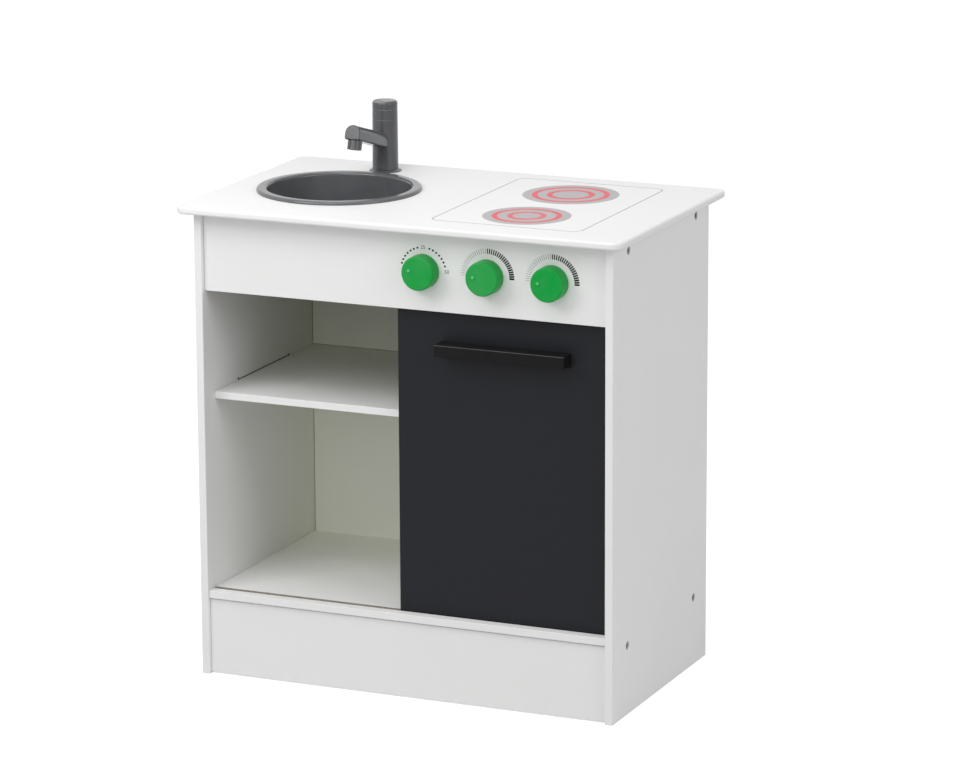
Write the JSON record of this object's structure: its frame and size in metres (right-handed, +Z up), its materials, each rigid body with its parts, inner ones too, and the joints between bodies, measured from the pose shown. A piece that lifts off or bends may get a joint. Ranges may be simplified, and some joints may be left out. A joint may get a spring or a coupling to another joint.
{
  "type": "play kitchen",
  "caption": "Small white play kitchen: open cabinet with a sliding writing-board door, round sink with swivelling tap, and turning knobs on a control panel.",
  "frame": {"origin": "on the floor, under the middle of the worktop", "axes": "+X to the right seen from the front, +Y to the back, +Z up"},
  "size_m": [0.49, 0.3, 0.5754],
  "materials": {
    "white_board": "fibreboard with smooth white satin paint",
    "white_hardboard": "thin hardboard, white on the inside",
    "raw_wood": "planed softwood, bare",
    "steel_screws": "zinc plated",
    "chalkboard": "thin fibreboard with matt charcoal writing-board paint",
    "black_plastic": "moulded, satin black",
    "grey_plastic": "moulded, glossy grey",
    "green_plastic": "moulded, satin green",
    "pale_plastic": "moulded, natural"
  },
  "bodies": {
    "cabinet": {"worktop": "white_board", "left_side_panel": "white_board", "right_side_panel": "white_board", "left_top_batten": "raw_wood", "right_top_batten": "raw_wood", "left_bottom_batten": "raw_wood", "right_bottom_batten": "raw_wood", "side_screws": "steel_screws", "worktop_screws": "steel_screws", "bottom_board_screws": "steel_screws", "bottom_board": "white_board", "shelf": "white_board", "back_board": "white_hardboard", "back_nails": "steel_screws", "plinth": "white_board", "fascia": "white_board", "dowels": "raw_wood", "door_rail": "raw_wood", "rail_screws": "steel_screws", "click_rings": "pale_plastic", "sink_bowl": "grey_plastic", "tap_foot": "grey_plastic", "tap_washer": "grey_plastic", "tap_nut": "grey_plastic", "pivot_screw": "steel_screws"},
    "door": {"door_panel": "chalkboard", "door_pull": "black_plastic", "pull_screws": "steel_screws"},
    "tap_arm": {"tap_spout": "grey_plastic", "tap_nozzle": "grey_plastic"},
    "tap_top": {"tap_handle": "grey_plastic", "tap_cap": "grey_plastic"},
    "knob_body_1": {"knob_1": "green_plastic", "knob_washer_1": "steel_screws", "knob_screw_1": "steel_screws"},
    "knob_body_2": {"knob_2": "green_plastic", "knob_washer_2": "steel_screws", "knob_screw_2": "steel_screws"},
    "knob_body_3": {"knob_3": "green_plastic", "knob_washer_3": "steel_screws", "knob_screw_3": "steel_screws"}
  },
  "joints": [
    {"name": "door_slide", "type": "slide", "parent": "cabinet", "child": "door", "axis": [1, 0, 0], "range_m": [-0.213, 0]},
    {"name": "tap_swivel", "type": "hinge", "parent": "cabinet", "child": "tap_arm", "pos_m": [-0.1252, 0.1065, 0.5], "axis": [0, 0, 1], "continuous": true},
    {"name": "tap_handle_turn", "type": "hinge", "parent": "tap_arm", "child": "tap_top", "pos_m": [-0.1252, 0.1065, 0.56], "axis": [0, 0, 1], "continuous": true},
    {"name": "knob_turn_1", "type": "hinge", "parent": "cabinet", "child": "knob_body_1", "pos_m": [0.0235, -0.127, 0.4502], "axis": [0, 1, 0], "continuous": true},
    {"name": "knob_turn_2", "type": "hinge", "parent": "cabinet", "child": "knob_body_2", "pos_m": [0.09355, -0.127, 0.4502], "axis": [0, 1, 0], "continuous": true},
    {"name": "knob_turn_3", "type": "hinge", "parent": "cabinet", "child": "knob_body_3", "pos_m": [0.1636, -0.127, 0.4502], "axis": [0, 1, 0], "continuous": true}
  ]
}
